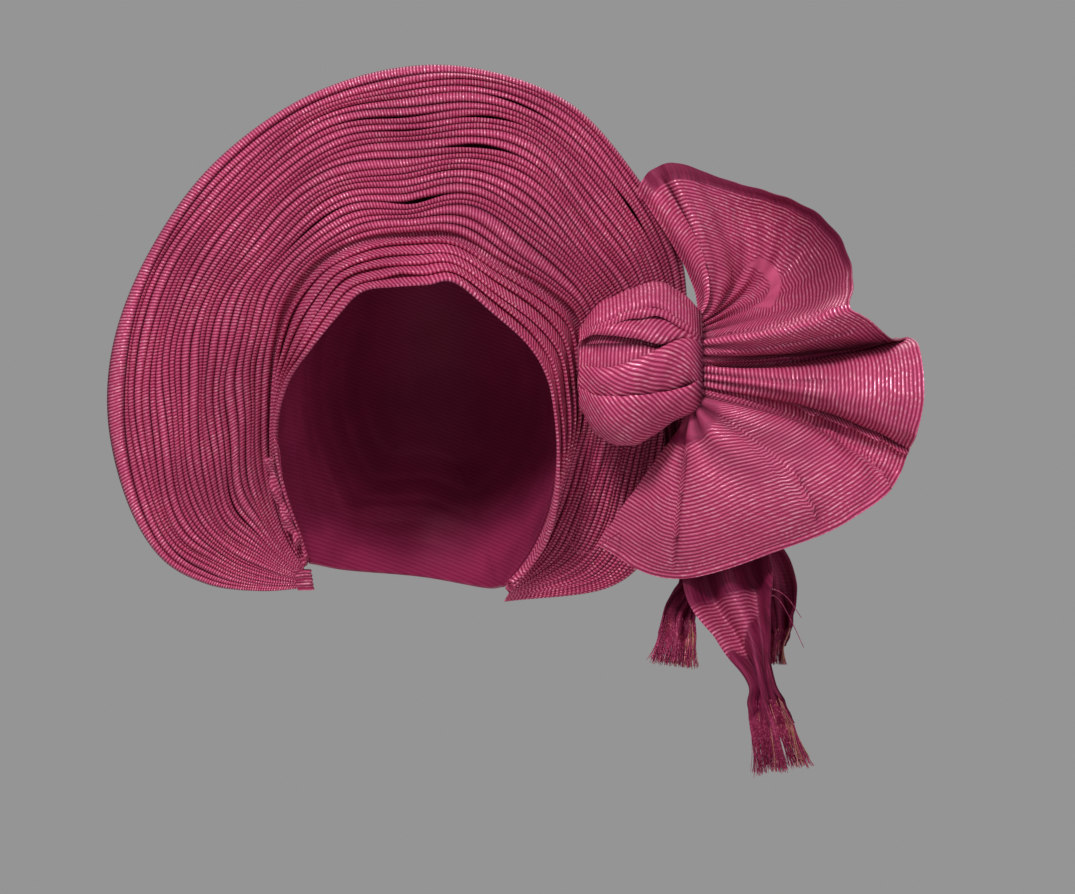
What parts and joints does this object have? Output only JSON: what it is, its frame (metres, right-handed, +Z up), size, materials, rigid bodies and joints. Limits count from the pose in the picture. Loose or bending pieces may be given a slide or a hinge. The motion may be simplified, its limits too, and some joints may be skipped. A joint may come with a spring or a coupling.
{
  "type": "tied gele head tie",
  "caption": "Pleated woven cloth head tie with a flat folded band, a halo of narrow pleats, a side knot, a ruffled bow and fringed hanging ends, kept in its tied form.",
  "frame": {"origin": "middle of the hollow, where a head would sit", "axes": "+Z up as worn, the opening faces -Y, the knot and bow are on the +X side"},
  "size_m": [0.4285, 0.179, 0.3684],
  "materials": {
    "bright_cloth": "stiff rose cloth with raised shiny weft stripes",
    "plain_cloth": "the plain satin reverse of the same cloth",
    "tail_cloth": "the same cloth in shade, with a frayed fringed end"
  },
  "bodies": {
    "root": {"band_fold_1": "bright_cloth", "band_fold_2": "bright_cloth", "band_fold_3": "bright_cloth", "band_fold_4": "bright_cloth", "band_fold_5": "bright_cloth", "pleated_fan": "bright_cloth", "back_wrap": "plain_cloth", "knot": "bright_cloth", "bow": "bright_cloth", "tail_front": "tail_cloth", "tail_side": "tail_cloth", "tail_back": "tail_cloth", "side_tie": "tail_cloth", "gather_tab": "tail_cloth"}
  },
  "joints": []
}
